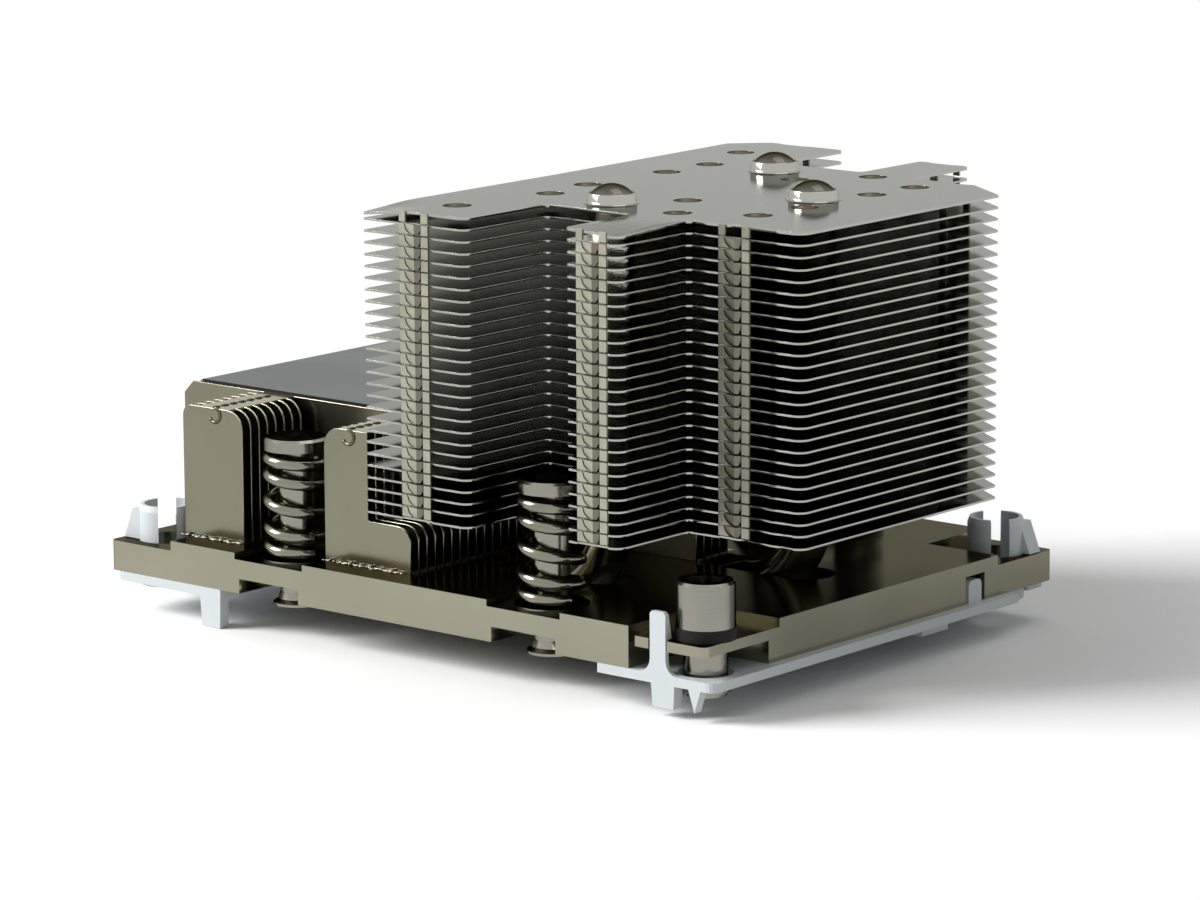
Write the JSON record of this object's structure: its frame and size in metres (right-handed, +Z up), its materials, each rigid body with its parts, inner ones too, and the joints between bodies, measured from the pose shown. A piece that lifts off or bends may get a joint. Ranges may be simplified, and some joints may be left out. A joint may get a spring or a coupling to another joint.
{
  "type": "server cpu heatsink",
  "caption": "Passive server processor heatsink: base plate, upright heat pipes, low fins, tall stack of level fins, spring screws and a plastic clip carrier.",
  "frame": {"origin": "centre of the contact face under the base plate", "axes": "+X along the long side towards the tall fin stack, +Y across to the back, +Z up, away from the processor"},
  "size_m": [0.1154, 0.0834, 0.0654],
  "materials": {
    "plate": "polished nickel plating",
    "fin_sheet": "nickel-plated sheet",
    "pipe": "nickel-plated, slightly tarnished",
    "label": "matte film",
    "carrier": "moulded plastic",
    "screw": "turned and plated",
    "sleeve": "rolled and plated",
    "spring": "bright spring wire",
    "washer": "plated",
    "seal": "matt black",
    "nut": "turned and plated"
  },
  "bodies": {
    "heatsink": {"base_plate": "plate", "carrier": "carrier", "heat_pipe_back": "pipe", "heat_pipe_front": "pipe", "heat_pipe_side": "pipe", "label": "label", "low_fins_left_back": "fin_sheet", "low_fins_left_front": "fin_sheet", "low_fins_middle_back": "fin_sheet", "low_fins_middle_front": "fin_sheet", "low_fins_wide": "fin_sheet", "nut_seals": "seal", "spring_back_left": "spring", "spring_back_right": "spring", "spring_front_left": "spring", "spring_front_right": "spring", "tall_fin_01": "fin_sheet", "tall_fin_02": "fin_sheet", "tall_fin_03": "fin_sheet", "tall_fin_04": "fin_sheet", "tall_fin_05": "fin_sheet", "tall_fin_06": "fin_sheet", "tall_fin_07": "fin_sheet", "tall_fin_08": "fin_sheet", "tall_fin_09": "fin_sheet", "tall_fin_10": "fin_sheet", "tall_fin_11": "fin_sheet", "tall_fin_12": "fin_sheet", "tall_fin_13": "fin_sheet", "tall_fin_14": "fin_sheet", "tall_fin_15": "fin_sheet", "tall_fin_16": "fin_sheet", "tall_fin_17": "fin_sheet", "tall_fin_18": "fin_sheet", "tall_fin_19": "fin_sheet", "tall_fin_20": "fin_sheet", "tall_fin_21": "fin_sheet", "tall_fin_22": "fin_sheet", "tall_fin_23": "fin_sheet", "tall_fin_24": "fin_sheet", "tall_fin_25": "fin_sheet", "tall_fin_26": "fin_sheet", "tall_fin_27": "fin_sheet", "washers": "washer"},
    "sleeve_front_left_body": {"sleeve_front_left": "sleeve"},
    "screw_front_left_body": {"spring_screw_front_left": "screw"},
    "sleeve_front_right_body": {"sleeve_front_right": "sleeve"},
    "screw_front_right_body": {"spring_screw_front_right": "screw"},
    "sleeve_back_left_body": {"sleeve_back_left": "sleeve"},
    "screw_back_left_body": {"spring_screw_back_left": "screw"},
    "sleeve_back_right_body": {"sleeve_back_right": "sleeve"},
    "screw_back_right_body": {"spring_screw_back_right": "screw"},
    "nut_near_body": {"nut_near": "nut", "nut_ring_near": "washer"},
    "nut_far_body": {"nut_far": "nut", "nut_ring_far": "washer"}
  },
  "joints": [
    {"name": "press_front_left", "type": "slide", "parent": "heatsink", "child": "sleeve_front_left_body", "axis": [0, 0, -1], "range_m": [0, 0.003], "stiffness_N_per_m": 5000, "deforming": ["spring_front_left"]},
    {"name": "turn_front_left", "type": "hinge", "parent": "sleeve_front_left_body", "child": "screw_front_left_body", "pos_m": [-0.0232, -0.033, 0], "axis": [0, 0, 1], "continuous": true},
    {"name": "press_front_right", "type": "slide", "parent": "heatsink", "child": "sleeve_front_right_body", "axis": [0, 0, -1], "range_m": [0, 0.003], "stiffness_N_per_m": 5000, "deforming": ["spring_front_right"]},
    {"name": "turn_front_right", "type": "hinge", "parent": "sleeve_front_right_body", "child": "screw_front_right_body", "pos_m": [0.0232, -0.033, 0], "axis": [0, 0, 1], "continuous": true},
    {"name": "press_back_left", "type": "slide", "parent": "heatsink", "child": "sleeve_back_left_body", "axis": [0, 0, -1], "range_m": [0, 0.003], "stiffness_N_per_m": 5000, "deforming": ["spring_back_left"]},
    {"name": "turn_back_left", "type": "hinge", "parent": "sleeve_back_left_body", "child": "screw_back_left_body", "pos_m": [-0.0232, 0.033, 0], "axis": [0, 0, 1], "continuous": true},
    {"name": "press_back_right", "type": "slide", "parent": "heatsink", "child": "sleeve_back_right_body", "axis": [0, 0, -1], "range_m": [0, 0.003], "stiffness_N_per_m": 5000, "deforming": ["spring_back_right"]},
    {"name": "turn_back_right", "type": "hinge", "parent": "sleeve_back_right_body", "child": "screw_back_right_body", "pos_m": [0.0232, 0.033, 0], "axis": [0, 0, 1], "continuous": true},
    {"name": "turn_nut_near", "type": "hinge", "parent": "heatsink", "child": "nut_near_body", "pos_m": [0.0502, -0.034, 0], "axis": [0, 0, 1], "continuous": true},
    {"name": "turn_nut_far", "type": "hinge", "parent": "heatsink", "child": "nut_far_body", "pos_m": [-0.0502, 0.034, 0], "axis": [0, 0, 1], "continuous": true}
  ]
}
